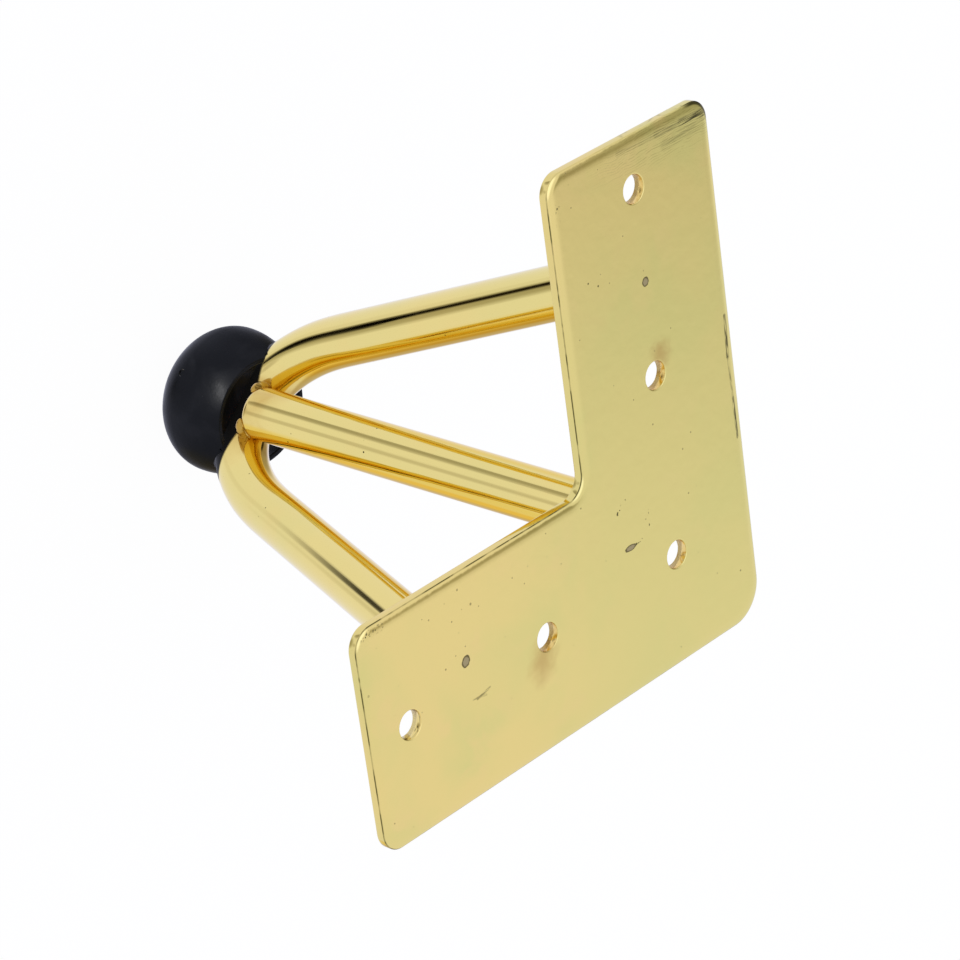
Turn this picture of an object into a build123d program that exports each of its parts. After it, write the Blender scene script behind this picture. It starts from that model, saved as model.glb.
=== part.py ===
from build123d import *
import os
from math import acos, asin, atan2, cos, degrees, hypot, radians, sin, sqrt

# A sofa leg of bent round bar: an L-shaped plate screws to the sofa's underside, a hairpin and a centre bar
# hang from it, and a rubber foot is pushed on over the hairpin's toe. Millimetres, +Z up.
# The origin is the centre of the plate's corner screw hole, on the face that meets the sofa. One arm of the
# plate runs along +X and the other along +Y. But for the foot's creep, X = Y is a plane of symmetry.

# Whole leg
leg_height = 104.0            # mounting face to the floor

# Mounting plate
arm_length = 100.0            # outer edge of each arm
arm_width = 42.0
plate_thickness = 2.0
outer_corner_radius = 7.0
end_corner_radius = 4.0
inner_corner_radius = 4.0
plate_edge_round = 0.6
screw_hole_dia = 5.6
screw_hole_inset = 20.8       # outer edges to the corner hole
screw_hole_end_inset = 9.6    # end of each arm to its last hole; the middle hole is halfway

# Round bar of the hairpin and the centre bar
bar_dia = 10.0

# Hairpin: where a leg's axis meets the plate, measured from the corner hole, and how the toe is bent
hairpin_top_along = 53.4      # along the leg's own arm
hairpin_top_across = 1.4      # across that arm, towards the inner edge
toe_offset = 13.7             # the toe's lowest axis point, along X and along Y
toe_radius = 12.6             # bend radius of the axis at the toe
shoulder_radius = 33.0        # gentler bend between each leg and the toe
shoulder_turn = 25.0          # degrees that each shoulder turns

# Centre bar: from the plate's inner corner down to the near side of the toe
centre_top_offset = 11.6      # axis at the plate, along X and along Y
centre_end_forward = 2.5      # its lower end beyond the toe's axis, along X and along Y
centre_end_above_toe = 4.9    # height of that end over the toe's axis
centre_end_round = 1.2

# Welds
plate_weld_leg = 3.0          # fillet round each bar at the plate's underside
toe_weld_radius = 1.5         # bead on either side of the centre bar's end
toe_weld_turn = 90.0          # degrees from the open side of the bar to the middle of each bead
toe_weld_span = 60.0          # degrees of each bead round the bar
toe_weld_drop = 0.3           # bead's middle beyond the bar's end

# Rubber foot
foot_sole = 8.4               # rubber under the toe
foot_dia = 28.0
foot_forward = 1.2            # foot axis beyond the toe's axis, along X and along Y
foot_equator_below_toe = 5.2  # widest ring under the toe's axis
foot_lower_curve = 9.3        # half height of the oval that rounds the underside
foot_rim_height = 9.3         # rim above the widest ring
foot_lip_width = 0.9          # flat of the rim, round the mouth
foot_mouth_depth = 1.5        # floor of the mouth below the rim
foot_lip_round = 0.3
foot_creep = 4.1              # degrees that the pushed-on foot has slid round the toe, towards the X arm
channel_clearance = 0.3       # between the toe and its seat
slot_clearance = 0.9          # between the bar and each side of the slot above the seat
gate_mark_dia = 1.4           # small moulding pit on the widest ring
gate_mark_depth = 0.5

# Values that follow
bar_radius = bar_dia / 2
underside = -plate_thickness
toe_depth = leg_height - foot_sole - bar_radius
corner_x = -screw_hole_inset
screw_hole_pitch = (arm_length - screw_hole_inset - screw_hole_end_inset) / 2
toe = Vector(toe_offset, toe_offset, -toe_depth)
diagonal = Vector(1, 1, 0).normalized()


def mounting_plate():
    outline = [
        (corner_x, corner_x),
        (corner_x + arm_length, corner_x),
        (corner_x + arm_length, corner_x + arm_width),
        (corner_x + arm_width, corner_x + arm_width),
        (corner_x + arm_width, corner_x + arm_length),
        (corner_x, corner_x + arm_length),
    ]
    sketch = make_face(Polyline(*outline, close=True))
    corners = sketch.vertices()
    outer = corners.sort_by_distance((corner_x, corner_x))[0]
    inner = corners.sort_by_distance((corner_x + arm_width, corner_x + arm_width))[0]
    ends = [corner for corner in corners if corner not in (outer, inner)]
    sketch = fillet(ends, end_corner_radius)
    sketch = fillet(sketch.vertices().sort_by_distance(outer)[0], outer_corner_radius)
    sketch = fillet(sketch.vertices().sort_by_distance(inner)[0], inner_corner_radius)
    plate = extrude(sketch, amount=-plate_thickness)
    rims = plate.faces().filter_by(Axis.Z).edges()
    plate = fillet(rims, plate_edge_round)
    for step in range(3):
        for x, y in {(step * screw_hole_pitch, 0), (0, step * screw_hole_pitch)}:
            plate -= Pos(x, y, underside / 2) * Cylinder(screw_hole_dia / 2, 2 * plate_thickness)
    return plate


def hairpin_plane():
    """Plane of the bent bar: x across the leg, y from the tops down to the toe."""
    middle = (hairpin_top_along + hairpin_top_across) / 2
    origin = Vector(middle, middle, underside)
    down = (toe - origin).normalized()
    across = Vector(1, -1, 0).normalized()
    return Plane(origin=origin, x_dir=across, z_dir=across.cross(down))


def hairpin_path():
    """Axis of the bar: leg, shoulder, toe, shoulder, leg, all tangent, with spare length above the plate."""
    plane = hairpin_plane()
    half_spread = (hairpin_top_along - hairpin_top_across) / sqrt(2)
    toe_reach = (toe - plane.origin).length
    centre_reach = toe_reach - toe_radius
    turn = radians(shoulder_turn)
    leg_to_centre = shoulder_radius - (shoulder_radius - toe_radius) * cos(turn)
    splay = acos(leg_to_centre / hypot(half_spread, centre_reach)) - atan2(centre_reach, half_spread)
    shoulder_x = (toe_radius - shoulder_radius) * cos(splay + turn) + shoulder_radius * cos(splay)
    leg_length = (half_spread - shoulder_x) / sin(splay)
    toe_turn = 180 - 2 * (degrees(splay) + shoulder_turn)
    heading = Vector(sin(splay), cos(splay))
    top = Vector(-half_spread, 0)
    leg = Line(top - heading * bar_dia, top + heading * leg_length)
    shoulder = JernArc(leg @ 1, leg % 1, shoulder_radius, -shoulder_turn)
    bend = JernArc(shoulder @ 1, shoulder % 1, toe_radius, -toe_turn)
    far_shoulder = JernArc(bend @ 1, bend % 1, shoulder_radius, -shoulder_turn)
    far_leg = Line(far_shoulder @ 1, far_shoulder @ 1 + (far_shoulder % 1) * (leg_length + bar_dia))
    return plane * Wire([leg, shoulder, bend, far_shoulder, far_leg])


def bar_along(path, radius):
    section = Plane(origin=path @ 0, z_dir=path % 0) * Circle(radius)
    return sweep(section, path=path)


def under_plate(bar):
    return split(bar, Plane.XY.offset(underside), keep=Keep.BOTTOM)


def centre_axis():
    """Top and bottom of the centre bar's axis, at the plate and beside the toe."""
    end_offset = toe_offset + centre_end_forward
    top = Vector(centre_top_offset, centre_top_offset, underside)
    return top, Vector(end_offset, end_offset, centre_end_above_toe - toe_depth)


def centre_bar(hairpin):
    top, end = centre_axis()
    heading = (end - top).normalized()
    length = (end - top).length + bar_dia
    rod = Cylinder(bar_radius, length, align=(Align.CENTER, Align.CENTER, Align.MIN))
    bar = Plane(origin=end, z_dir=-heading) * rod
    bar = fillet(bar.edges().sort_by(Axis.Z)[0], centre_end_round)
    return under_plate(bar) - hairpin


def plate_weld(top, heading, bar):
    """Fillet round a leaning bar: from a wide oval on the plate to the bar's own section below it."""
    lean = hypot(heading.X, heading.Y) / abs(heading.Z)
    stretch = hypot(1, lean)
    azimuth = degrees(atan2(heading.Y, heading.X))
    drop = heading * (plate_weld_leg / abs(heading.Z))
    ovals = []
    for centre, spread in ((top, plate_weld_leg), (top + drop, 0)):
        oval = Ellipse(bar_radius * stretch + spread, bar_radius + spread)
        ovals.append(Pos(centre) * Rot(0, 0, azimuth) * oval)
    return loft(ovals, ruled=True) - bar


def toe_welds(hairpin, centre):
    """A bead on each side of the centre bar's end, in the corner that it makes with the toe."""
    top, end = centre_axis()
    heading = (end - top).normalized()
    seat = Plane(origin=end + heading * toe_weld_drop, x_dir=diagonal, z_dir=heading)
    beads = []
    for turn in (toe_weld_turn, -toe_weld_turn):
        ring = seat * CenterArc((0, 0), bar_radius, turn - toe_weld_span / 2, toe_weld_span)
        bead = bar_along(ring, toe_weld_radius)
        for end_point in (ring @ 0, ring @ 1):
            bead += Pos(end_point) * Sphere(toe_weld_radius)
        bead = bead - hairpin - centre
        beads.append(bead.solids().sort_by(SortBy.VOLUME)[-1])
    return Compound(children=beads)


def foot_body():
    """Turned form of the foot, about its own axis with the widest ring at height 0."""
    radius = foot_dia / 2
    mouth_floor = foot_rim_height - foot_mouth_depth
    rim_angle = degrees(asin(foot_rim_height / radius))
    base = EllipticalCenterArc((0, 0), radius, foot_lower_curve, -90, arc_size=90)
    dome = CenterArc((0, 0), radius, 0, rim_angle)
    mouth_radius = (dome @ 1).X - foot_lip_width
    outline = [
        base,
        dome,
        Line(dome @ 1, (mouth_radius, foot_rim_height)),
        Line((mouth_radius, foot_rim_height), (mouth_radius, mouth_floor)),
        Line((mouth_radius, mouth_floor), (0, mouth_floor)),
        Line((0, mouth_floor), base @ 0),
    ]
    section = Plane.XZ * make_face(Wire(outline))
    body = revolve(section, Axis.Z)
    lips = body.edges().filter_by(GeomType.CIRCLE).group_by(Axis.Z)[-1]
    return fillet(lips, foot_lip_round)


def toe_channel(path):
    """What the toe is pushed into: a round seat along the bar, and a wider slot above it, open to the rim."""
    closing = Line(path @ 1, path @ 0)
    above = make_face(Wire([*path.edges(), closing]))
    half_width = bar_radius + slot_clearance
    slot = extrude(above, amount=half_width, dir=hairpin_plane().z_dir, both=True)
    return bar_along(path, bar_radius + channel_clearance) + slot


def rubber_foot(path):
    offset = toe_offset + foot_forward
    equator = -toe_depth - foot_equator_below_toe
    gate_mark = Cylinder(gate_mark_dia / 2, 2 * gate_mark_depth)
    body = foot_body() - Plane(origin=diagonal * (foot_dia / 2), z_dir=diagonal) * gate_mark
    plane = hairpin_plane()
    down = (toe - plane.origin).normalized()
    toe_centre = Axis(toe - down * toe_radius, plane.z_dir)
    foot = (Pos(offset, offset, equator) * body).rotate(toe_centre, -foot_creep)
    foot = split(foot, Plane.XY.offset(-leg_height), keep=Keep.TOP)
    return foot - toe_channel(path)


path = hairpin_path()
hairpin = under_plate(bar_along(path, bar_radius))
centre = centre_bar(hairpin)
leg_top_x = Vector(hairpin_top_along, hairpin_top_across, underside)
leg_top_y = Vector(hairpin_top_across, hairpin_top_along, underside)
centre_top, centre_end = centre_axis()
welds = [
    plate_weld(leg_top_y, path % 0, hairpin),
    plate_weld(leg_top_x, -(path % 1), hairpin),
    plate_weld(centre_top, (centre_end - centre_top).normalized(), centre),
]

nodes = {
    "mounting_plate": mounting_plate(),
    "hairpin_bar": hairpin,
    "centre_bar": centre,
    "plate_welds": Compound(children=[weld.solid() for weld in welds]),
    "toe_welds": toe_welds(hairpin, centre),
    "rubber_foot": rubber_foot(path),
}

os.makedirs("parts", exist_ok=True)
for name, shape in nodes.items():
    export_step(shape, f"parts/{name}.step")
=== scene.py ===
from math import acos, atan2, cos, hypot, pi, radians, sin, sqrt

import bmesh
import bpy
from mathutils import Matrix, Quaternion, Vector


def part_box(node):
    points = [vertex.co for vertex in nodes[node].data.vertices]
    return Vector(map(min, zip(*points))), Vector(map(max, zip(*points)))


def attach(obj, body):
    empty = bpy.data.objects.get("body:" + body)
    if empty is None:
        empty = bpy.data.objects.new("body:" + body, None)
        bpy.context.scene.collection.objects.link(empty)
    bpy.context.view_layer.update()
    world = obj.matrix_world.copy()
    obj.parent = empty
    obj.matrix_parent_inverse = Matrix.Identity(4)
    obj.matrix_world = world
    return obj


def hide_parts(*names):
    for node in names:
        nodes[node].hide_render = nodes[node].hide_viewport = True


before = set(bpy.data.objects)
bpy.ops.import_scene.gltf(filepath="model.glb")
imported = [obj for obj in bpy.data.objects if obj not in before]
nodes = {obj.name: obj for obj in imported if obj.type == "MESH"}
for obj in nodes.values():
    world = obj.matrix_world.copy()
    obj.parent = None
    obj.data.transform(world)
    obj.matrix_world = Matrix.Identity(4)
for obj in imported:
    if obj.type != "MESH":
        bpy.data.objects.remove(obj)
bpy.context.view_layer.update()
mm = 0.001
print("frame loaded:", ", ".join(sorted(nodes)))

nodeGrid = {"step": 240, "perRow": 12}


def addNode(tree, kind, **values):
    # the nodes of a tree are set out in rows
    row, column = divmod(len(tree.nodes), nodeGrid["perRow"])
    node = tree.nodes.new(kind)
    node.location = (column * nodeGrid["step"], -row * nodeGrid["step"])
    for key, value in values.items():
        setattr(node, key, value)
    return node


def newMaterial(name):
    material = bpy.data.materials.new(name)
    material.use_nodes = True
    tree = material.node_tree
    return material, tree, tree.nodes["Principled BSDF"]


def newGroup(name, inputs, outputs):
    group = bpy.data.node_groups.new(name, "ShaderNodeTree")
    for label, kind in inputs.items():
        group.interface.new_socket(label, in_out="INPUT", socket_type="NodeSocket" + kind)
    for label, kind in outputs.items():
        group.interface.new_socket(label, in_out="OUTPUT", socket_type="NodeSocket" + kind)
    start = addNode(group, "NodeGroupInput")
    end = addNode(group, "NodeGroupOutput")
    return group, start, end


def placeGroup(tree, group, **values):
    node = addNode(tree, "ShaderNodeGroup", node_tree=group)
    for label, value in values.items():
        node.inputs[label].default_value = value
    return node


def feed(tree, socket, value):
    # a socket takes a number, a colour, or a link from another node
    if isinstance(value, (int, float)):
        socket.default_value = value
    elif isinstance(value, tuple):
        socket.default_value = (*value, 1)
    else:
        tree.links.new(value, socket)


def maths(tree, operation, first, second=None):
    node = addNode(tree, "ShaderNodeMath", operation=operation)
    for socket, value in zip(node.inputs, (first, second)):
        if value is not None:
            feed(tree, socket, value)
    return node.outputs["Value"]


def vectorMaths(tree, operation, first, second=None):
    node = addNode(tree, "ShaderNodeVectorMath", operation=operation)
    for socket, value in zip(node.inputs, (first, second)):
        if isinstance(value, Vector):
            socket.default_value = value
        elif value is not None:
            tree.links.new(value, socket)
    return node


def ease(tree, value, low, high, lowResult=0.0, highResult=1.0):
    node = addNode(tree, "ShaderNodeMapRange", interpolation_type="SMOOTHSTEP")
    settings = {"From Min": low, "From Max": high, "To Min": lowResult, "To Max": highResult}
    for label, setting in settings.items():
        feed(tree, node.inputs[label], setting)
    tree.links.new(value, node.inputs["Value"])
    return node.outputs["Result"]


def easeBoth(tree, first, firstLimits, second, secondLimits):
    return maths(tree, "MULTIPLY", ease(tree, first, *firstLimits), ease(tree, second, *secondLimits))


def tint(tree, mask, under, over, blend="MIX"):
    node = addNode(tree, "ShaderNodeMix", data_type="RGBA", blend_type=blend)
    for label, value in (("A", under), ("B", over), ("Factor", mask)):
        feed(tree, node.inputs[label], value)
    return node.outputs["Result"]


def noise(tree, vector, scale, detail=2.0, distortion=0.0):
    node = addNode(tree, "ShaderNodeTexNoise")
    node.inputs["Scale"].default_value = scale
    node.inputs["Detail"].default_value = detail
    node.inputs["Distortion"].default_value = distortion
    tree.links.new(vector, node.inputs["Vector"])
    return node.outputs["Fac"]


def scaled(tree, vector, factor):
    node = vectorMaths(tree, "SCALE", vector)
    node.inputs["Scale"].default_value = factor
    return node.outputs["Vector"]


def millimetres(tree):
    coords = addNode(tree, "ShaderNodeTexCoord")
    return scaled(tree, coords.outputs["Object"], 1 / mm)


def splitAxes(tree, vector):
    axes = addNode(tree, "ShaderNodeSeparateXYZ")
    tree.links.new(vector, axes.inputs["Vector"])
    return axes.outputs["X"], axes.outputs["Y"], axes.outputs["Z"]


def stretched(tree, vector, scale, turn=0.0):
    node = addNode(tree, "ShaderNodeMapping")
    node.inputs["Rotation"].default_value = (0, 0, turn)
    node.inputs["Scale"].default_value = scale
    tree.links.new(vector, node.inputs["Vector"])
    return node.outputs["Vector"]


def addBump(tree, shader, height, strength, depth):
    bump = addNode(tree, "ShaderNodeBump")
    bump.inputs["Strength"].default_value = strength
    bump.inputs["Distance"].default_value = depth
    tree.links.new(height, bump.inputs["Height"])
    tree.links.new(bump.outputs["Normal"], shader.inputs["Normal"])


# noise settings are scale, detail and distortion; eased limits are from, to, and the results there if not 0 and 1
tones = {
    "broadNoise": (0.035, 3, 0.4),
    "fineNoise": (0.11, 4, 0.6),
    "greener": (0.42, 0.68),
    "warmer": (0.5, 0.75, 0.0, 0.7),
    "smearAndShade": (0.3, 0.8, 0.75, 1.35),
}


def toneGroup():
    # cloudy shifts of the plating's colour and gloss
    group, start, end = newGroup("plating_tone", {
        "Vector": "Vector", "Colour": "Color", "Warm": "Color", "Green": "Color", "Roughness": "Float",
    }, {"Colour": "Color", "Roughness": "Float"})
    broad = noise(group, start.outputs["Vector"], *tones["broadNoise"])
    fine = noise(group, start.outputs["Vector"], *tones["fineNoise"])
    greener = ease(group, broad, *tones["greener"])
    colour = tint(group, greener, start.outputs["Colour"], start.outputs["Green"])
    colour = tint(group, ease(group, fine, *tones["warmer"]), colour, start.outputs["Warm"])
    smearAndShade = ease(group, fine, *tones["smearAndShade"])
    group.links.new(colour, end.inputs["Colour"])
    group.links.new(maths(group, "MULTIPLY", smearAndShade, start.outputs["Roughness"]), end.inputs["Roughness"])
    return group


speckEdge = 0.06     # width of a speck's soft edge


def speckGroup():
    # small pits and dirt specks, in a share of the cells of a fine net of points
    group, start, end = newGroup("dark_specks", {
        "Vector": "Vector", "Spacing": "Float", "Size": "Float", "Share": "Float",
    }, {"Mask": "Float"})
    cells = addNode(group, "ShaderNodeTexVoronoi")
    group.links.new(start.outputs["Vector"], cells.inputs["Vector"])
    group.links.new(maths(group, "DIVIDE", 1.0, start.outputs["Spacing"]), cells.inputs["Scale"])
    pick = addNode(group, "ShaderNodeSeparateColor")
    group.links.new(cells.outputs["Color"], pick.inputs["Color"])
    chosen = maths(group, "LESS_THAN", pick.outputs["Red"], start.outputs["Share"])
    reach = maths(group, "MULTIPLY", cells.outputs["Distance"], start.outputs["Spacing"])
    size = maths(group, "MULTIPLY", pick.outputs["Green"], start.outputs["Size"])
    dot = ease(group, maths(group, "SUBTRACT", size, reach), 0.0, speckEdge)
    group.links.new(maths(group, "MULTIPLY", dot, chosen), end.inputs["Mask"])
    return group


spotShape = {
    "edgeNoise": (2.2, 2, 0.4),
    "core": (0.74, 0.58),
}


def spotGroup():
    # one ragged oval spot about a given point, in millimetres
    # its long way is turned in the plane of X and Y
    group, start, end = newGroup("ragged_spot", {
        "Vector": "Vector", "Centre": "Vector", "Half Size": "Vector", "Turn": "Float", "Ragged": "Float",
        "Soft": "Float",
    }, {"Mask": "Float", "Core": "Float"})
    away = vectorMaths(group, "SUBTRACT", start.outputs["Vector"], start.outputs["Centre"])
    turned = addNode(group, "ShaderNodeVectorRotate", rotation_type="Z_AXIS")
    group.links.new(away.outputs["Vector"], turned.inputs["Vector"])
    group.links.new(start.outputs["Turn"], turned.inputs["Angle"])
    oval = vectorMaths(group, "DIVIDE", turned.outputs["Vector"], start.outputs["Half Size"]).outputs["Vector"]
    span = vectorMaths(group, "LENGTH", oval).outputs["Value"]
    rough = maths(group, "SUBTRACT", noise(group, oval, *spotShape["edgeNoise"]), 0.5)
    shift = maths(group, "MULTIPLY", rough, start.outputs["Ragged"])
    reach = maths(group, "ADD", span, maths(group, "MULTIPLY", shift, 2.0))
    inner = maths(group, "SUBTRACT", 1.0, start.outputs["Soft"])
    group.links.new(ease(group, reach, 1.0, inner), end.inputs["Mask"])
    group.links.new(ease(group, reach, *spotShape["core"]), end.inputs["Core"])
    return group


toneTool = toneGroup()
speckTool = speckGroup()
spotTool = spotGroup()


def plating(tree, place, finish):
    colours = {label: (*finish[label.lower()], 1) for label in ("Colour", "Warm", "Green")}
    node = placeGroup(tree, toneTool, Roughness=finish["roughness"], **colours)
    tree.links.new(place, node.inputs["Vector"])
    return node.outputs["Colour"], node.outputs["Roughness"]


def specks(tree, place, settings):
    node = placeGroup(tree, speckTool, **settings)
    tree.links.new(place, node.inputs["Vector"])
    return node.outputs["Mask"]


def spot(tree, place, middle, halfSize, edge, turn=0.0):
    node = placeGroup(tree, spotTool, Centre=middle, Turn=turn, **edge)
    node.inputs["Half Size"].default_value = halfSize
    tree.links.new(place, node.inputs["Vector"])
    return node.outputs


plateFinish = {
    "colour": (0.84, 0.66, 0.215),
    "warm": (0.86, 0.645, 0.225),
    "green": (0.735, 0.645, 0.205),
    "roughness": 0.075,
    "dulling": 0.35,
    "waviness": (0.35, 2),
    "bump": 0.05,
    "bumpDepth": 0.0004,
    "greenAlong": (88.0, 40.0),      # greener towards the outer corner
    "greenAcross": (50.0, 8.0),
    "greenShare": 0.7,
    "spotDepth": 9,
    "stain": (0.55, 0.365, 0.105),
    "stainShare": 0.7,
    "stainEdge": {"Ragged": 0.35, "Soft": 0.97},
    "stains": (                      # brown run-offs beside two of the holes: middle, half size, turn
        (38.2, -1.9, 3.8, 3.6, 0.0),
        (-3.6, 36.6, 6.2, 4.6, 0.56),
    ),
    "dragLine": (0.36, 0.31, 0.09),
    "dragNoise": (0.10, 2, 0.2),
    "dragSway": 9.0,
    "dragRows": 2.3,                 # lines in each millimetre
    "dragWidth": (0.0, 0.22, 1.0, 0.0),
    "dragAlong": (70.0, 75.0),
    "dragAcross": (16.0, -10.0),
    "dragDashes": (0.42, 0.58, 0.0, 0.7),
    "dashGrain": (4.6, 0.13, 1.0),
    "dashTurn": 0.05,
    "dashNoise": (1.0, 3, 0.25),
    "burnDark": (0.11, 0.085, 0.03),
    "burnGrey": (0.40, 0.325, 0.15),
    "burnShare": 0.9,
    "burnEdge": {"Ragged": 0.22, "Soft": 0.12},
    "burns": (                       # heat spots over the bar ends, set out like the stains
        (52.4, -0.2, 0.95, 0.88, 0.7),
        (4.9, 54.9, 1.22, 1.02, 0.7),
        (6.55, 11.6, 0.62, 1.55, 0.0),
    ),
    "grime": (0.075, 0.065, 0.018),
    "onFace": (-0.2, -0.08),
    "faintSpecks": {"Spacing": 2.3, "Size": 0.24, "Share": 0.5},
    "faintShare": 0.5,
    "rubbed": (0.40, 0.58),
    "scuffs": (                      # rubbed streaks: from, to, half width, strength
        (76.4, -19.6, 76.6, -13.5, 1.1, 1.0),
        (76.6, -13.5, 76.8, -7.0, 0.9, 0.55),
        (76.8, -7.0, 77.0, 3.0, 0.7, 0.3),
        (74.9, -19.6, 74.3, -9.0, 1.5, 0.3),
        (-2.3, 50.2, -3.0, 53.4, 0.34, 0.65),
        (-3.2, 51.2, -2.6, 54.4, 0.30, 0.5),
    ),
    "strandGrain": (0.4, 3.2, 1.0),
    "stranded": (0.36, 0.56),
    "strands": (                     # long thin dirt beside the outer edge
        (38.2, -19.5, 30.4, -19.1, 0.50, 1.0),
        (30.4, -19.1, 22.4, -19.3, 0.30, 0.75),
        (22.4, -19.3, 14.6, -19.4, 0.42, 1.0),
    ),
    "straySpecks": {"Spacing": 1.3, "Size": 0.30, "Share": 0.4},
    "scatter": (
        (55.2, 8.6, 57.8, 13.6, 2.4, 0.9),
        (20.0, 30.0, 14.0, 60.0, 6.0, 0.5),
        (14.0, 76.6, -17.0, 76.8, 2.0, 0.55),
    ),
    "fineSpecks": {"Spacing": 0.48, "Size": 0.36, "Share": 0.85},
    "dirt": (
        (20.3, 73.0, 20.2, 77.6, 1.2, 0.8),
        (73.8, 18.9, 70.5, 19.4, 0.7, 0.7),
        (15.8, 11.7, 14.1, 13.8, 0.45, 1.0),
        (12.4, 5.8, 8.1, 6.2, 0.16, 0.9),
        (6.6, 10.0, 6.9, 8.2, 0.28, 1.0),
        (54.6, 0.1, 53.9, 0.2, 0.26, 1.0),
    ),
    "streakCore": 0.35,              # share of the half width where a streak is full
    "olive": (0.10, 0.085, 0.018),
    "arrisFoot": (-0.47, -0.40),
    "arrisTop": (-0.24, -0.33),
    "arrisNoise": (0.25, 3, 0.3),
    "arrisBroken": (0.36, 0.56, 0.35, 0.97),
    "farAlong": (74.0, 77.5),
    "farAcross": (-17.0, -13.0, 0.0, 0.85),
    "cornerAlong": (74.0, 76.5),
    "cornerAcross": (-14.5, -17.0),
    "rollFoot": (-0.47, -0.42),
    "rollTop": (-0.10, -0.18, 0.0, 0.95),
}


def streak(tree, place, start, end, width):
    # mask along a short straight streak, in millimetres
    start, end = Vector((*start, 0)), Vector((*end, 0))
    heading = (end - start).normalized()
    away = vectorMaths(tree, "SUBTRACT", place, start).outputs["Vector"]
    along = vectorMaths(tree, "DOT_PRODUCT", away, heading).outputs["Value"]
    reach = maths(tree, "MINIMUM", maths(tree, "MAXIMUM", along, 0.0), (end - start).length)
    nearest = vectorMaths(tree, "SCALE", heading)
    tree.links.new(reach, nearest.inputs["Scale"])
    gap = vectorMaths(tree, "DISTANCE", away, nearest.outputs["Vector"]).outputs["Value"]
    return ease(tree, gap, width, width * plateFinish["streakCore"])


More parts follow.
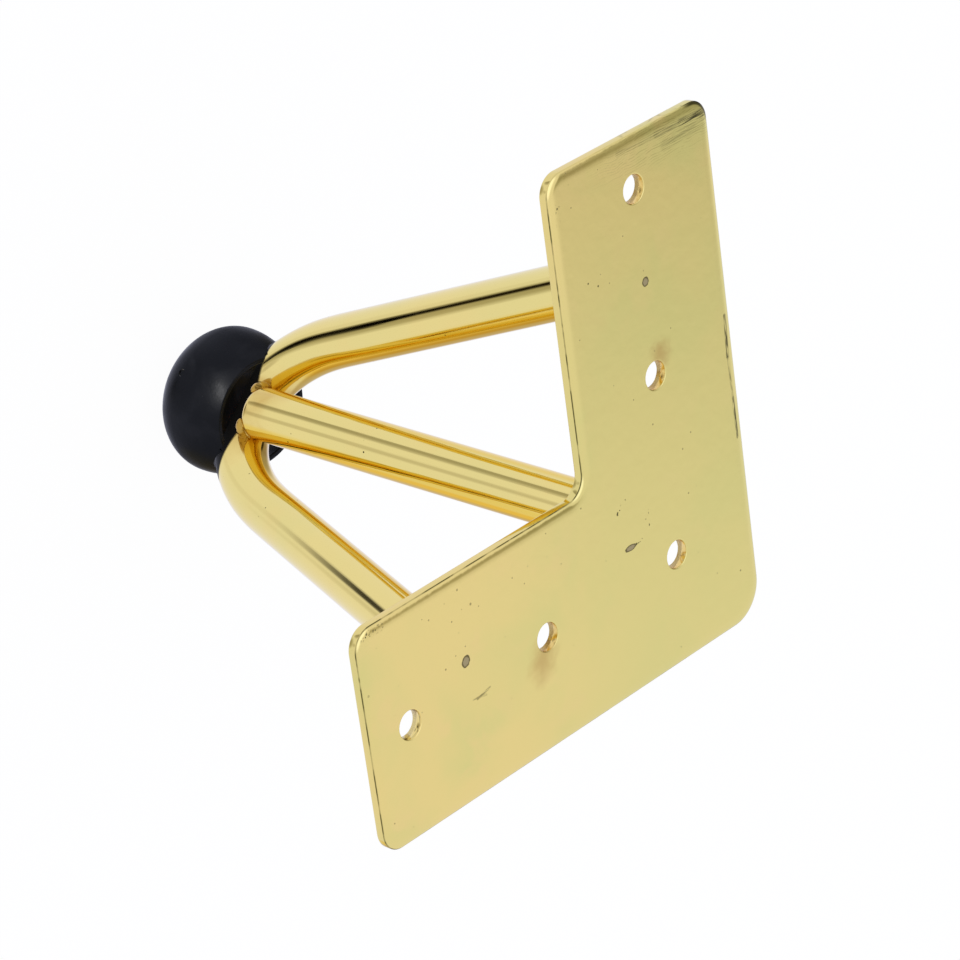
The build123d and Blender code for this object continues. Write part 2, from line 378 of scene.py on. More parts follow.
def plateMaterial():
    material, tree, shader = newMaterial("gold_plated_sheet")
    place = millimetres(tree)
    x, y, z = splitAxes(tree, place)
    colour, roughness = plating(tree, place, plateFinish)
    greener = easeBoth(tree, y, plateFinish["greenAcross"], x, plateFinish["greenAlong"])
    greener = maths(tree, "MULTIPLY", greener, plateFinish["greenShare"])
    colour = tint(tree, greener, colour, plateFinish["green"])
    for spotX, spotY, halfX, halfY, turn in plateFinish["stains"]:
        halfSize = (halfX, halfY, plateFinish["spotDepth"])
        stain = spot(tree, place, (spotX, spotY, 0), halfSize, plateFinish["stainEdge"], turn)
        mask = maths(tree, "MULTIPLY", stain["Mask"], plateFinish["stainShare"])
        colour = tint(tree, mask, colour, plateFinish["stain"])
    # wavy drag lines left by the press near the far end
    wave = maths(tree, "MULTIPLY", noise(tree, place, *plateFinish["dragNoise"]), plateFinish["dragSway"])
    rows = maths(tree, "ADD", wave, maths(tree, "MULTIPLY", x, plateFinish["dragRows"]))
    lines = ease(tree, maths(tree, "PINGPONG", rows, 0.5), *plateFinish["dragWidth"])
    acrossEnd = stretched(tree, place, plateFinish["dashGrain"], plateFinish["dashTurn"])
    dashes = noise(tree, acrossEnd, *plateFinish["dashNoise"])
    farEnd = easeBoth(tree, x, plateFinish["dragAlong"], y, plateFinish["dragAcross"])
    dragged = maths(tree, "MULTIPLY", farEnd, ease(tree, dashes, *plateFinish["dragDashes"]))
    colour = tint(tree, maths(tree, "MULTIPLY", lines, dragged), colour, plateFinish["dragLine"])
    marks = 0.0
    for spotX, spotY, halfX, halfY, turn in plateFinish["burns"]:
        halfSize = (halfX, halfY, plateFinish["spotDepth"])
        burn = spot(tree, place, (spotX, spotY, 0), halfSize, plateFinish["burnEdge"], turn)
        mask = maths(tree, "MULTIPLY", burn["Mask"], plateFinish["burnShare"])
        colour = tint(tree, mask, colour, plateFinish["burnDark"])
        colour = tint(tree, burn["Core"], colour, plateFinish["burnGrey"])
        marks = maths(tree, "MAXIMUM", burn["Mask"], marks)
    # a few faint specks all over the face, then streaks of rubbing and dirt
    grime = maths(tree, "MULTIPLY", specks(tree, place, plateFinish["faintSpecks"]), plateFinish["faintShare"])
    besideEdge = noise(tree, stretched(tree, place, plateFinish["strandGrain"]), *plateFinish["dashNoise"])
    patterns = {
        "scuffs": ease(tree, dashes, *plateFinish["rubbed"]),
        "strands": ease(tree, besideEdge, *plateFinish["stranded"]),
        "scatter": specks(tree, place, plateFinish["straySpecks"]),
        "dirt": specks(tree, place, plateFinish["fineSpecks"]),
    }
    for streaks, pattern in patterns.items():
        for fromX, fromY, toX, toY, width, strength in plateFinish[streaks]:
            mask = streak(tree, place, (fromX, fromY), (toX, toY), width)
            mask = maths(tree, "MULTIPLY", maths(tree, "MULTIPLY", mask, strength), pattern)
            grime = maths(tree, "MAXIMUM", mask, grime)
    grime = maths(tree, "MULTIPLY", grime, ease(tree, z, *plateFinish["onFace"]))
    colour = tint(tree, grime, colour, plateFinish["grime"])
    # painted reflection: a dark line along the arris, where the pressed edge turns into the wall, broken into
    # dashes like wear, and less of it at the far end
    arris = easeBoth(tree, z, plateFinish["arrisFoot"], z, plateFinish["arrisTop"])
    broken = ease(tree, noise(tree, place, *plateFinish["arrisNoise"]), *plateFinish["arrisBroken"])
    farSide = easeBoth(tree, x, plateFinish["farAlong"], y, plateFinish["farAcross"])
    paintedArrisLine = maths(tree, "MULTIPLY", maths(tree, "MULTIPLY", arris, broken), maths(tree, "SUBTRACT", 1.0, farSide))
    colour = tint(tree, paintedArrisLine, colour, plateFinish["olive"])
    # darker on the roll of the far outer corner, in the dirt colour
    farCorner = easeBoth(tree, x, plateFinish["cornerAlong"], y, plateFinish["cornerAcross"])
    onRoll = easeBoth(tree, z, plateFinish["rollFoot"], z, plateFinish["rollTop"])
    colour = tint(tree, maths(tree, "MULTIPLY", farCorner, onRoll), colour, plateFinish["grime"])
    tree.links.new(colour, shader.inputs["Base Color"])
    shader.inputs["Metallic"].default_value = 1
    dull = maths(tree, "MULTIPLY", maths(tree, "MAXIMUM", marks, grime), plateFinish["dulling"])
    tree.links.new(maths(tree, "ADD", roughness, dull), shader.inputs["Roughness"])
    waviness = noise(tree, place, *plateFinish["waviness"])
    addBump(tree, shader, waviness, plateFinish["bump"], plateFinish["bumpDepth"])
    return material


barFinish = {
    "colour": (0.86, 0.70, 0.23),
    "warm": (0.87, 0.685, 0.225),
    "green": (0.83, 0.695, 0.23),
    "roughness": 0.075,
    "dulling": 0.3,
    "heatAndReflection": (0.50, 0.23, 0.01),
    "heatAndReflectionMiddle": (14.2, 14.2, -86.5),
    "heatAndReflectionHalfSize": (13.0, 13.0, 13.0),
    "heatAndReflectionEdge": {"Ragged": 0.4, "Soft": 0.9},
    "heatAndReflectionShare": 0.85,
    "paintedReflection": (0.85, 0.58, 0.06),
    "paintedReflectionShare": 0.78,
    "facing": (0.76, 0.93),          # how squarely a side has to face another bar
    "legSpread": (7.4, 9.9),         # the centre bar lies nearer the middle than this, the legs farther out
    "eitherWay": 0.15,
    "dirt": (0.06, 0.05, 0.018),
    "dirtSpecks": {"Spacing": 1.6, "Size": 0.24, "Share": 0.3},
    "dirtNoise": (0.12, 2),
    "dirtPatches": (0.5, 0.62),
    "mouthShade": (0.010, 0.009, 0.006),
    "mouthShadeSpecular": 0.03,
    "mouthShadeTop": -86.8,               # the toe below this is painted near black: painted shade inside the foot's mouth
    "mouthShadeFade": 0.6,
    "drawnGrain": (3.0, 0.03, 1.0),
    "drawnNoise": (1.0, 3),
    "bump": 0.025,
    "bumpDepth": 0.0003,
}


def barMaterial():
    material, tree, shader = newMaterial("gold_plated_bar")
    place = millimetres(tree)
    x, y, z = splitAxes(tree, place)
    colour, roughness = plating(tree, place, barFinish)
    # heat tint around the toe welds, deepened into a painted reflection of the bars mirroring each other there
    heatAndReflection = spot(tree, place, barFinish["heatAndReflectionMiddle"], barFinish["heatAndReflectionHalfSize"], barFinish["heatAndReflectionEdge"])
    mask = maths(tree, "MULTIPLY", heatAndReflection["Mask"], barFinish["heatAndReflectionShare"])
    colour = tint(tree, mask, colour, barFinish["heatAndReflection"])
    # painted reflection: deeper amber gold on the sides that face another bar, where the bars mirror each other
    normal = addNode(tree, "ShaderNodeNewGeometry").outputs["Normal"]
    across = vectorMaths(tree, "DOT_PRODUCT", normal, Vector((1, -1, 0)).normalized()).outputs["Value"]
    spread = maths(tree, "SUBTRACT", x, y)
    leg = ease(tree, maths(tree, "ABSOLUTE", spread), *barFinish["legSpread"])
    inward = maths(tree, "MULTIPLY", maths(tree, "SIGN", spread), maths(tree, "MULTIPLY", across, -1.0))
    eitherWay = maths(tree, "ADD", maths(tree, "ABSOLUTE", across), barFinish["eitherWay"])
    onLeg = maths(tree, "MULTIPLY", inward, leg)
    onCentre = maths(tree, "MULTIPLY", eitherWay, maths(tree, "SUBTRACT", 1.0, leg))
    paintedReflection = ease(tree, maths(tree, "ADD", onLeg, onCentre), *barFinish["facing"], 0.0, barFinish["paintedReflectionShare"])
    colour = tint(tree, paintedReflection, colour, barFinish["paintedReflection"])
    patches = ease(tree, noise(tree, place, *barFinish["dirtNoise"]), *barFinish["dirtPatches"])
    dirty = maths(tree, "MULTIPLY", specks(tree, place, barFinish["dirtSpecks"]), patches)
    colour = tint(tree, dirty, colour, barFinish["dirt"])
    # painted shade: below the mouth's rim the toe turns near black and stops mirroring, standing for the shade
    # inside the foot's mouth
    smearAndShade = ease(tree, z, barFinish["mouthShadeTop"], barFinish["mouthShadeTop"] - barFinish["mouthShadeFade"])
    colour = tint(tree, smearAndShade, colour, barFinish["mouthShade"])
    tree.links.new(colour, shader.inputs["Base Color"])
    tree.links.new(maths(tree, "SUBTRACT", 1.0, smearAndShade), shader.inputs["Metallic"])
    shader.inputs["Specular IOR Level"].default_value = barFinish["mouthShadeSpecular"]
    dull = maths(tree, "MULTIPLY", maths(tree, "MAXIMUM", dirty, smearAndShade), barFinish["dulling"])
    tree.links.new(maths(tree, "ADD", roughness, dull), shader.inputs["Roughness"])
    # faint lines along the bar from drawing it to size
    unrolled = addNode(tree, "ShaderNodeTexCoord").outputs["UV"]
    drawn = noise(tree, stretched(tree, unrolled, barFinish["drawnGrain"]), *barFinish["drawnNoise"])
    height = maths(tree, "SUBTRACT", drawn, dirty)
    addBump(tree, shader, height, barFinish["bump"], barFinish["bumpDepth"])
    return material


browned = {
    "closeness": 4.0,
    "sootNoise": (0.7, 3, 0.5),
    "sootLimits": (0.5, 0.72),
    "dulling": 0.3,
    "pitting": (1.0, 2, 0.3),
    "bumpDepth": 0.0002,
}

weldFinish = {
    "colour": (0.53, 0.33, 0.06),
    "warm": (0.36, 0.17, 0.012),
    "green": (0.60, 0.43, 0.11),
    "soot": (0.08, 0.038, 0.006),
    "sooty": 0.85,
    "roughness": 0.16,
    "bump": 0.08,
}

holeFinish = {
    "colour": (0.84, 0.60, 0.17),
    "warm": (0.77, 0.49, 0.09),
    "green": (0.86, 0.64, 0.22),
    "soot": (0.42, 0.21, 0.03),
    "sooty": 0.3,
    "roughness": 0.24,
    "bump": 0.05,
}


def brownedMaterial(name, finish):
    # plating that has gone brown: over the welds, and on the bare cut walls of the holes
    material, tree, shader = newMaterial(name)
    place = millimetres(tree)
    colour, roughness = plating(tree, scaled(tree, place, browned["closeness"]), finish)
    sooty = noise(tree, place, *browned["sootNoise"])
    soot = ease(tree, sooty, *browned["sootLimits"], 0.0, finish["sooty"])
    colour = tint(tree, soot, colour, finish["soot"])
    tree.links.new(colour, shader.inputs["Base Color"])
    shader.inputs["Metallic"].default_value = 1
    dull = maths(tree, "MULTIPLY", soot, browned["dulling"])
    tree.links.new(maths(tree, "ADD", roughness, dull), shader.inputs["Roughness"])
    addBump(tree, shader, noise(tree, place, *browned["pitting"]), finish["bump"], browned["bumpDepth"])
    return material


rubberFinish = {
    "colour": (0.0030, 0.0035, 0.0042),
    "bloom": (0.0065, 0.0070, 0.0080),
    "hazeNoise": (0.16, 4, 0.8),
    "bloomLimits": (0.45, 0.8),
    "dust": (0.05, 0.05, 0.05),
    "dustSpecks": {"Spacing": 1.7, "Size": 0.16, "Share": 0.16},
    "dustShare": 0.3,
    "roughness": (0.3, 0.75, 0.27, 0.41),
    "specular": (10.0, 18.0, 0.105, 0.025),
    "grainNoise": (2.6, 3),
    "bump": 0.12,
    "bumpDepth": 0.00015,
}


def rubberMaterial():
    material, tree, shader = newMaterial("black_rubber")
    place = millimetres(tree)
    x, y = splitAxes(tree, place)[:2]
    haze = noise(tree, place, *rubberFinish["hazeNoise"])
    bloom = ease(tree, haze, *rubberFinish["bloomLimits"])
    colour = tint(tree, bloom, rubberFinish["colour"], rubberFinish["bloom"])
    dust = maths(tree, "MULTIPLY", specks(tree, place, rubberFinish["dustSpecks"]), rubberFinish["dustShare"])
    colour = tint(tree, dust, colour, rubberFinish["dust"])
    tree.links.new(colour, shader.inputs["Base Color"])
    tree.links.new(ease(tree, haze, *rubberFinish["roughness"]), shader.inputs["Roughness"])
    # duller towards both ends of the slot, where the bar has rubbed it
    aside = maths(tree, "ABSOLUTE", maths(tree, "SUBTRACT", x, y))
    tree.links.new(ease(tree, aside, *rubberFinish["specular"]), shader.inputs["Specular IOR Level"])
    grain = noise(tree, place, *rubberFinish["grainNoise"])
    addBump(tree, shader, grain, rubberFinish["bump"], rubberFinish["bumpDepth"])
    return material


sheetGold = plateMaterial()
barGold = barMaterial()
weldGold = brownedMaterial("gold_over_weld", weldFinish)
holeGold = brownedMaterial("browned_hole_wall", holeFinish)
rubber = rubberMaterial()
print("materials set:", ", ".join(finish.name for finish in (sheetGold, barGold, weldGold, holeGold, rubber)))


def addPiece(name, bm, material, standsFor):
    bmesh.ops.recalc_face_normals(bm, faces=bm.faces)
    mesh = bpy.data.meshes.new(name)
    bm.to_mesh(mesh)
    bm.free()
    mesh.shade_smooth()
    piece = bpy.data.objects.new(name, mesh)
    bpy.context.scene.collection.objects.link(piece)
    mesh.materials.append(material)
    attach(piece, "root")
    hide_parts(standsFor)
    return piece


plate = {
    "armLength": 100.0,
    "armWidth": 42.0,
    "thickness": 2.0,
    "holeInset": 20.8,      # outer edges to the corner hole, which is the origin
    "holeEndInset": 9.6,
    "holeDia": 5.6,
    "outerRadius": 7.0,
    "endRadius": 4.0,
    "innerRadius": 4.0,
    "rollWidth": 2.2,       # pressed edge: the face rolls over gently, then turns sharply into the wall
    "rollDrop": 0.45,
    "underRound": 0.3,
    "holeRollWidth": 0.2,
    "holeRollDrop": 0.16,
    "faceMargin": 0.15,     # flat ring between a roll and the filled face
    "cornerSteps": 16,
    "rollSteps": 14,
    "underSteps": 4,
    "holeRollSteps": 8,
    "holeSteps": 56,
}


def plateLoop(inward):
    low = -plate["holeInset"]
    high = low + plate["armLength"]
    inner = low + plate["armWidth"]
    outerR, endR, innerR = plate["outerRadius"], plate["endRadius"], plate["innerRadius"]
    corners = (
        (low + outerR, low + outerR, outerR - inward, 180, 270),
        (high - endR, low + endR, endR - inward, 270, 360),
        (high - endR, inner - endR, endR - inward, 0, 90),
        (inner + innerR, inner + innerR, innerR + inward, 270, 180),
        (inner - endR, high - endR, endR - inward, 0, 90),
        (low + endR, high - endR, endR - inward, 90, 180),
    )
    loop = []
    for x, y, radius, start, end in corners:
        for step in range(plate["cornerSteps"] + 1):
            angle = radians(start + (end - start) * step / plate["cornerSteps"])
            loop.append((x + radius * cos(angle), y + radius * sin(angle)))
    return loop


def rollOver(width, drop, steps):
    # quarter of a flat ellipse, from the wall up to the face: how far in from the wall and below the face
    quarter = [pi / 2 * step / steps for step in range(steps + 1)]
    roll = [(width * (1 - cos(t)), drop * (1 - sin(t))) for t in quarter]
    return roll + [(width + plate["faceMargin"], 0.0)]


def joinRings(bm, rings, slot=0):
    for lower, upper in zip(rings, rings[1:]):
        for i in range(len(lower)):
            j = (i + 1) % len(lower)
            bm.faces.new((lower[i], lower[j], upper[j], upper[i])).material_index = slot


def ringEdges(bm, ring):
    return [bm.edges.get((ring[i], ring[(i + 1) % len(ring)])) for i in range(len(ring))]


def buildPlate():
    bm = bmesh.new()
    under = plate["underRound"]
    profile = []
    for step in range(plate["underSteps"] + 1):
        t = pi / 2 * step / plate["underSteps"]
        profile.append((under * (1 - sin(t)), -plate["thickness"] + under * (1 - cos(t))))
    for inward, drop in rollOver(plate["rollWidth"], plate["rollDrop"], plate["rollSteps"]):
        profile.append((inward, -drop))
    rings = []
    for inward, z in profile:
        rings.append([bm.verts.new((x * mm, y * mm, z * mm)) for x, y in plateLoop(inward)])
    joinRings(bm, rings)
    topEdges = ringEdges(bm, rings[-1])
    underEdges = ringEdges(bm, rings[0])
    pitch = (plate["armLength"] - plate["holeInset"] - plate["holeEndInset"]) / 2
    rim = rollOver(plate["holeRollWidth"], plate["holeRollDrop"], plate["holeRollSteps"])
    holeProfile = [(0, -plate["thickness"])] + [(inward, -drop) for inward, drop in rim]
    for x, y in ((0, 0), (pitch, 0), (2 * pitch, 0), (0, pitch), (0, 2 * pitch)):
        rings = []
        wallSlot = 1 if y < 2 * pitch else 0     # one end hole is bright inside
        for inward, z in holeProfile:
            radius = plate["holeDia"] / 2 - plate["holeRollWidth"] + inward
            ring = []
            for step in range(plate["holeSteps"]):
                angle = -2 * pi * step / plate["holeSteps"]
                spotX, spotY = x + radius * cos(angle), y + radius * sin(angle)
                ring.append(bm.verts.new((spotX * mm, spotY * mm, z * mm)))
            rings.append(ring)
        joinRings(bm, rings[:2], wallSlot)
        joinRings(bm, rings[1:])
        topEdges += ringEdges(bm, rings[-1])
        underEdges += ringEdges(bm, rings[0])
    bmesh.ops.triangle_fill(bm, use_beauty=True, edges=topEdges, normal=(0, 0, 1))
    bmesh.ops.triangle_fill(bm, use_beauty=True, edges=underEdges, normal=(0, 0, -1))
    piece = addPiece("mounting_plate_pressed", bm, sheetGold, "mounting_plate")
    piece.data.materials.append(holeGold)
    return piece


plateSheet = buildPlate()
print("plate built:", len(plateSheet.data.polygons), "faces")

bars = {
    "dia": 10.0,
    "sides": 80,
    "step": 0.6,
    "cutClear": 0.6,         # share of the radius that is kept free below the slanted cut
}

hairpin = {
    "topAlong": 53.4,        # where a leg meets the plate, from the corner hole
    "topAcross": 1.4,
    "toeOffset": 13.7,
    "toeDepth": 90.6,
    "toeRadius": 12.6,
    "shoulderRadius": 33.0,
    "shoulderTurn": 25.0,
    "ease": 5.0,             # length over which one bend runs into the next
    "easeSteps": 8,
}

centreBar = {
    "topOffset": 11.6,
    "endOffset": 16.2,
    "endDepth": 85.7,
    "endRound": 1.2,
    "endSteps": 8,
    "firstStation": 1.0,
    "stations": 60,
}


def hairpinAxis():
    # points and tangents of the bent bar's axis, from the plate down to the toe and up again
    middle = (hairpin["topAlong"] + hairpin["topAcross"]) / 2
    origin = Vector((middle, middle, -plate["thickness"]))
    toe = Vector((hairpin["toeOffset"], hairpin["toeOffset"], -hairpin["toeDepth"]))
    across = Vector((1, -1, 0)).normalized()
    down = (toe - origin).normalized()
    reach = (toe - origin).length
    halfSpread = (hairpin["topAlong"] - hairpin["topAcross"]) / sqrt(2)
    big, small = hairpin["shoulderRadius"], hairpin["toeRadius"]
    turn = radians(hairpin["shoulderTurn"])
    toLeg = big - (big - small) * cos(turn)
    splay = acos(toLeg / hypot(halfSpread, reach - small)) - atan2(reach - small, halfSpread)
    toeEnd = small * (pi / 2 - splay - turn)
    shoulderEnd = toeEnd + big * turn

    def turned(s):
        if s < 0:
            return -turned(-s)
        return min(s, toeEnd) / small + (min(s, shoulderEnd) - min(s, toeEnd)) / big

    def eased(s):
        steps = hairpin["easeSteps"]
        spots = [hairpin["ease"] * (k / steps - 1) for k in range(2 * steps + 1)]
        return sum(turned(s + spot) for spot in spots) / len(spots)

    half = []
    x, y, s = 0.0, reach, 0.0
    step = bars["step"]
    while y > 0:
        angle = eased(s)
        half.append((x, y, cos(angle), -sin(angle)))
        middleAngle = eased(s + step / 2)
        x += step * cos(middleAngle)
        y -= step * sin(middleAngle)
        s += step
    full = [(-x, y, dx, -dy) for x, y, dx, dy in reversed(half[1:])] + half
    points = [origin + across * x + down * y for x, y, dx, dy in full]
    headings = [(across * dx + down * dy).normalized() for x, y, dx, dy in full]
    return points, headings, across.cross(down)


def centreBarAxis():
    top = Vector((centreBar["topOffset"], centreBar["topOffset"], -plate["thickness"]))
    end = Vector((centreBar["endOffset"], centreBar["endOffset"], -centreBar["endDepth"]))
    return top, end, (end - top).normalized()


def roundBar(bm, points, headings, side, endProfile=()):
    # rings of a round bar, square to its axis; its open ends are cut level with the plate's underside
    radius = bars["dia"] / 2
    rings = []
    top = -plate["thickness"]
    angles = [2 * pi * k / bars["sides"] for k in range(bars["sides"])]
    for place, heading in zip(points, headings):
        other = heading.cross(side).normalized()
        rings.append([place + other * (radius * cos(t)) + side * (radius * sin(t)) for t in angles])
    ends = [0] if endProfile else [0, len(rings) - 1]
    for end in ends:
        heading = headings[end]
        rings[end] = [spot + heading * ((top - spot.z) / heading.z) for spot in rings[end]]
    heading = headings[-1]
    other = heading.cross(side).normalized()
    for beyond, shrink in endProfile:
        middle = points[-1] + heading * beyond
        rings.append([middle + (other * cos(t) + side * sin(t)) * (radius - shrink) for t in angles])
    layer = bm.loops.layers.uv.new("bar")
    around = 2 * pi * radius / bars["sides"]
    along = 0.0
    lower = [bm.verts.new(spot * mm) for spot in rings[0]]
    bm.faces.new(lower)
    for below, above in zip(rings, rings[1:]):
        nextAlong = along + (above[0] - below[0]).length
        upper = [bm.verts.new(spot * mm) for spot in above]
        for i in range(bars["sides"]):
            j = (i + 1) % bars["sides"]
            face = bm.faces.new((lower[i], lower[j], upper[j], upper[i]))
            left, right = i * around, (i + 1) * around
            unrolled = ((left, along), (right, along), (right, nextAlong), (left, nextAlong))
            for loop, spot in zip(face.loops, unrolled):
                loop[layer].uv = spot
        lower, along = upper, nextAlong
    bm.faces.new(lower)


def keepClear(points, headings):
    # the last stations before the plate would cross the slanted cut
    clear = bars["dia"] / 2 * bars["cutClear"]
    kept = [i for i, spot in enumerate(points) if spot.z < -plate["thickness"] - clear]
    first, last = kept[0], kept[-1]
    chosen = [points[first]] + points[first:last + 1] + [points[last]]
    return chosen, [headings[first]] + headings[first:last + 1] + [headings[last]]


def buildHairpin():
    points, headings, side = hairpinAxis()
    points, headings = keepClear(points, headings)
    bm = bmesh.new()
    roundBar(bm, points, headings, side)
    return addPiece("hairpin_bar_bent", bm, barGold, "hairpin_bar")


def buildCentreBar():
    top, end, heading = centreBarAxis()
    roundOff, steps = centreBar["endRound"], centreBar["endSteps"]
    first, count = centreBar["firstStation"], centreBar["stations"]
    length = (end - top).length - roundOff
    points = [top] + [top + heading * (first + (length - first) * k / count) for k in range(count + 1)]
    profile = []
    for k in range(1, steps + 1):
        t = pi / 2 * k / steps
        profile.append((roundOff * sin(t), roundOff * (1 - cos(t))))
    profile.append((roundOff, bars["dia"] / 4))
    bm = bmesh.new()
    side = Vector((1, -1, 0)).normalized()
    roundBar(bm, points, [heading] * len(points), side, profile)
    return addPiece("centre_bar_straight", bm, barGold, "centre_bar")


hairpinBar = buildHairpin()
centrePiece = buildCentreBar()
print("bars built:", len(hairpinBar.data.polygons), "and", len(centrePiece.data.polygons), "faces")

ripples = {
    "climb": 0.6,            # each one climbs slowly and drops off quickly, like coins laid on each other
    "drop": 6,
}

toeWeld = {
    "from": 36.0,            # degrees from the open side of the centre bar's end
    "to": 114.0,
    "radius": 1.3,
    "beyondEnd": 0.1,
    "sunk": 0.45,            # middle of the bead below the bar's surface
    "endFullness": 0.02,
    "fullness": 0.6,
    "ripples": 7,
    "ripple": 0.05,
    "steps": 72,
    "sides": 28,
}

plateWeld = {
    "out": 0.7,              # middle of the bead from the bar's surface, and below the plate
    "radius": 2.2,
    "ripples": 19,
    "ripple": 0.10,
    "steps": 228,
    "sides": 20,
}


def rippled(share, weld):
    part = share * weld["ripples"] % 1.0
    return 1 + weld["ripple"] * (part ** ripples["climb"] * (1 - part ** ripples["drop"]) - 0.5)


def buildToeWelds():
    end, heading = centreBarAxis()[1:]
    middle = end + heading * toeWeld["beyondEnd"]
    front = Vector((1, 1, 0)).normalized()
    front = (front - heading * front.dot(heading)).normalized()
    aside = heading.cross(front)
    bm = bmesh.new()
    steps, sides = toeWeld["steps"], toeWeld["sides"]
    for turn in (1, -1):
        rings = []
        for k in range(steps + 1):
            share = k / steps
            angle = turn * radians(toeWeld["from"] + (toeWeld["to"] - toeWeld["from"]) * share)
            out = front * cos(angle) + aside * sin(angle)
            fullness = max(1 - (2 * share - 1) ** 2, toeWeld["endFullness"]) ** toeWeld["fullness"]
            radius = toeWeld["radius"] * fullness * rippled(share, toeWeld)
            ring = []
            for i in range(sides):
                around = 2 * pi * i / sides
                outward = bars["dia"] / 2 - toeWeld["sunk"] + radius * cos(around)
                spot = middle + out * outward + heading * (radius * sin(around))
                ring.append(bm.verts.new(spot * mm))
            rings.append(ring)
        joinRings(bm, rings)
        bm.faces.new(rings[0])
        bm.faces.new(rings[-1])
    return addPiece("toe_weld_beads", bm, weldGold, "toe_welds")


def buildPlateWelds():
    headings = hairpinAxis()[1]
    level = -plate["thickness"]
    centreTop, centreEnd, centreHeading = centreBarAxis()
    starts = (
        (Vector((hairpin["topAcross"], hairpin["topAlong"], level)), headings[0]),
        (Vector((hairpin["topAlong"], hairpin["topAcross"], level)), -headings[-1]),
        (centreTop, centreHeading),
    )
    bm = bmesh.new()
    steps, sides = plateWeld["steps"], plateWeld["sides"]
    for top, heading in starts:
        lean = Vector((heading.x, heading.y, 0)).normalized()
        cross = Vector((-lean.y, lean.x, 0))
        stretch = 1 / abs(heading.z)
        rings = []
        for k in range(steps):
            angle = 2 * pi * k / steps
            out = (lean * cos(angle) + cross * sin(angle)).normalized()
            edge = lean * (bars["dia"] / 2 * stretch * cos(angle)) + cross * (bars["dia"] / 2 * sin(angle))
            middle = top + edge + out * plateWeld["out"] - Vector((0, 0, plateWeld["out"]))
            radius = plateWeld["radius"] * rippled(k / steps, plateWeld)
            ring = []
            for i in range(sides):
                around = 2 * pi * i / sides
                spot = middle + out * (radius * cos(around)) + Vector((0, 0, radius * sin(around)))
                spot.z = min(spot.z, level)
                ring.append(bm.verts.new(spot * mm))
            rings.append(ring)
        joinRings(bm, rings + [rings[0]])
    return addPiece("plate_weld_beads", bm, weldGold, "plate_welds")


toeBeads = buildToeWelds()
plateBeads = buildPlateWelds()
print("welds built:", len(toeBeads.data.polygons), "and", len(plateBeads.data.polygons), "faces")

foot = nodes["rubber_foot"]
foot.data.materials.clear()
foot.data.materials.append(rubber)
foot.visible_glossy = False      # the bars mirror the open studio right down to the foot

studio = {
    "level": (0.905, 0.93, 1.16),
    "backdrop": (1.0, 1.0, 1.0),
    "edges": (          # straight edges of the gaps between the lights: square to the edge, from clear to full
        ((0.11, -0.955, -0.28), 0.05, -0.02),
        ((0.29, 0.73, 0.62), 0.02, -0.045),
    ),
    "patches": (
        # towards, angle where it is full, angle where it ends, colour, edge that cuts it off
        ((0.305, 0.425, -0.853), 1.2, 7.6, (0.03, 0.02, 0.01), None),
        ((0.25, 0.49, -0.83), 0.0, 22.0, (0.50, 0.47, 0.37), 0),
        ((0.385, 0.20, -0.91), 0.0, 9.0, (0.93, 0.92, 0.90), None),
        ((0.80, 0.27, -0.54), 1.0, 17.0, (0.47, 0.45, 0.38), 0),
        ((0.31, 0.78, -0.54), 0.0, 9.0, (0.74, 0.72, 0.68), None),
        ((-0.88, 0.12, -0.46), 10.0, 22.0, (1.0, 0.82, 0.36), None),
        ((-0.88, -0.30, -0.36), 12.0, 28.0, (0.66, 0.56, 0.36), None),
        ((0.0, -0.98, -0.20), 8.0, 26.0, (0.42, 0.36, 0.20), None),
        ((0.13, -0.98, 0.14), 9.0, 17.0, (0.08, 0.07, 0.03), None),
        ((-0.21, -0.615, 0.76), 2.0, 8.0, (0.70, 0.68, 0.58), 1),
        ((-0.035, -0.79, 0.61), 0.0, 27.0, (0.50, 0.49, 0.40), 1),
        ((0.05, -0.16, 0.985), 12.0, 26.0, (1.5, 1.55, 1.8), None),
    ),
}


def buildWorld():
    world = bpy.data.worlds.new("studio")
    bpy.context.scene.world = world
    world.use_nodes = True
    tree = world.node_tree
    tree.nodes.clear()
    view = addNode(tree, "ShaderNodeTexCoord").outputs["Generated"]

    def facing(towards):
        return vectorMaths(tree, "DOT_PRODUCT", view, Vector(towards).normalized()).outputs["Value"]

    cuts = [ease(tree, facing(square), clear, full) for square, clear, full in studio["edges"]]
    shade = studio["level"]
    for towards, full, ends, colour, edge in studio["patches"]:
        mask = ease(tree, facing(towards), cos(radians(ends)), cos(radians(full)))
        if edge is not None:
            mask = maths(tree, "MULTIPLY", mask, cuts[edge])
        shade = tint(tree, mask, shade, colour, "MULTIPLY")
    paths = addNode(tree, "ShaderNodeLightPath")
    seen = tint(tree, paths.outputs["Is Camera Ray"], shade, studio["backdrop"])
    background = addNode(tree, "ShaderNodeBackground")
    tree.links.new(seen, background.inputs["Color"])
    output = addNode(tree, "ShaderNodeOutputWorld")
    tree.links.new(background.outputs["Background"], output.inputs["Surface"])


def addCard(name, corners, material):
    mesh = bpy.data.meshes.new(name)
    mesh.from_pydata(corners, [], [(0, 1, 2, 3)])
    mesh.materials.append(material)
    card = bpy.data.objects.new(name, mesh)
    bpy.context.scene.collection.objects.link(card)
    return card


floorCard = {
    "size": 6.0,
    "depth": 104.05,
    "colour": (0.95, 0.95, 0.94),
    "roughness": 0.8,
    "specular": 0.1,
    "white": 0.97,           # share of plain white in what the camera sees
}


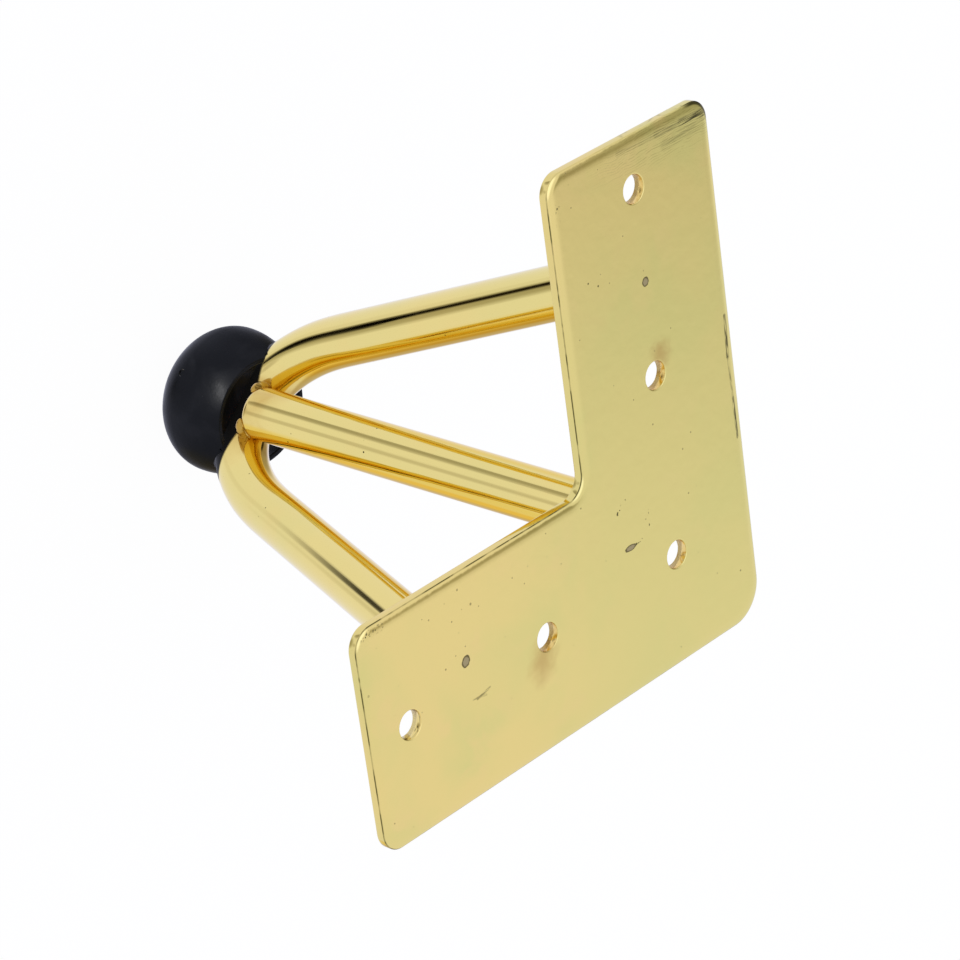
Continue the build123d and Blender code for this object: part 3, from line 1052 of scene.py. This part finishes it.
def buildFloor():
    half = floorCard["size"] / 2
    level = -floorCard["depth"] * mm
    material, tree, shader = newMaterial("pale_floor")
    shader.inputs["Base Color"].default_value = (*floorCard["colour"], 1)
    shader.inputs["Roughness"].default_value = floorCard["roughness"]
    shader.inputs["Specular IOR Level"].default_value = floorCard["specular"]
    paths = addNode(tree, "ShaderNodeLightPath")
    share = maths(tree, "MULTIPLY", paths.outputs["Is Camera Ray"], floorCard["white"])
    white = addNode(tree, "ShaderNodeEmission")
    blend = addNode(tree, "ShaderNodeMixShader")
    tree.links.new(share, blend.inputs["Fac"])
    tree.links.new(shader.outputs["BSDF"], blend.inputs[1])
    tree.links.new(white.outputs["Emission"], blend.inputs[2])
    tree.links.new(blend.outputs["Shader"], tree.nodes["Material Output"].inputs["Surface"])
    corners = ((-half, -half, level), (half, -half, level), (half, half, level), (-half, half, level))
    floor = addCard("floor", corners, material)
    floor.visible_glossy = False      # the metal mirrors the studio, not the floor


flagCard = {
    "middle": (79.1, 83.8, -206.6),   # small dark flag, seen only as a line in one leg
    "across": (0.791, -0.574, 0.211),
    "down": (-0.48, -0.797, -0.367),
    "halfWidth": 38,
    "top": -16,
    "bottom": 29,
    "fadeSides": (36.0, 9.0),         # dark in the middle, fading out to its borders
    "fadeBottom": (27.3, -2.1),
    "fadeTop": (-14.7, -9.4, 0.0, 0.94),
}


def buildFlag():
    # its corners in millimetres across it and down it
    middle = Vector(flagCard["middle"])
    across, down = Vector(flagCard["across"]).normalized(), Vector(flagCard["down"]).normalized()
    wide, top, bottom = flagCard["halfWidth"], flagCard["top"], flagCard["bottom"]
    corners = ((-wide, top), (wide, top), (wide, bottom), (-wide, bottom))
    material, tree, shader = newMaterial("dark_flag")
    shader.inputs["Base Color"].default_value = (0.0, 0.0, 0.0, 1)
    shader.inputs["Roughness"].default_value = 1
    shader.inputs["Specular IOR Level"].default_value = 0
    x, y = splitAxes(tree, addNode(tree, "ShaderNodeTexCoord").outputs["UV"])[:2]
    sideways = ease(tree, maths(tree, "ABSOLUTE", x), *flagCard["fadeSides"])
    lengthways = easeBoth(tree, y, flagCard["fadeBottom"], y, flagCard["fadeTop"])
    tree.links.new(maths(tree, "MULTIPLY", sideways, lengthways), shader.inputs["Alpha"])
    flag = addCard("dark_flag", [(middle + across * u + down * v) * mm for u, v in corners], material)
    layer = flag.data.uv_layers.new(name="flag")
    for loop, corner in zip(layer.data, corners):
        loop.uv = corner
    flag.visible_camera = flag.visible_diffuse = flag.visible_shadow = flag.visible_transmission = False


footLamp = {
    "towards": (0.60, 0.63, 0.49),       # soft strip light on the rubber only
    "away": 450.0,
    "size": (55.0, 260.0),
    "upright": (0.895, -0.396, -0.205),
    "watts": 1.25,
}


def buildFootLamp():
    low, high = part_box("rubber_foot")
    middle = (Vector(low) + Vector(high)) / 2
    forward = Vector(footLamp["towards"]).normalized()
    upright = Vector(footLamp["upright"])
    upright = (upright - forward * upright.dot(forward)).normalized()
    data = bpy.data.lights.new("foot_lamp", "AREA")
    data.shape = "RECTANGLE"
    data.size, data.size_y = (side * mm for side in footLamp["size"])
    data.energy = footLamp["watts"]
    lamp = bpy.data.objects.new("foot_lamp", data)
    bpy.context.scene.collection.objects.link(lamp)
    turn = Matrix((upright.cross(forward), upright, forward)).transposed()
    lamp.matrix_world = Matrix.Translation(middle + forward * footLamp["away"] * mm) @ turn.to_4x4()
    lit = bpy.data.collections.new("foot_lamp_lights")
    lit.objects.link(foot)
    lamp.light_linking.receiver_collection = lit
    lamp.visible_camera = False


buildWorld()
buildFloor()
buildFlag()
buildFootLamp()
print("studio built")

camera = {
    "place": (0.33953, 0.49758, 0.45904),
    "aim": (0.014123, 0.015006, -0.031183),
    "roll": 105.514,
    "lens": 160.98,
    "sensor": 36.0,
}


def buildCamera():
    data = bpy.data.cameras.new("camera")
    data.lens = camera["lens"]
    data.sensor_width = camera["sensor"]
    holder = bpy.data.objects.new("camera", data)
    bpy.context.scene.collection.objects.link(holder)
    place = Vector(camera["place"])
    level = (Vector(camera["aim"]) - place).to_track_quat("-Z", "Y")
    holder.location = place
    holder.rotation_mode = "QUATERNION"
    holder.rotation_quaternion = level @ Quaternion((0, 0, 1), radians(camera["roll"]))
    bpy.context.scene.camera = holder


buildCamera()
bpy.context.scene.view_settings.view_transform = "Standard"
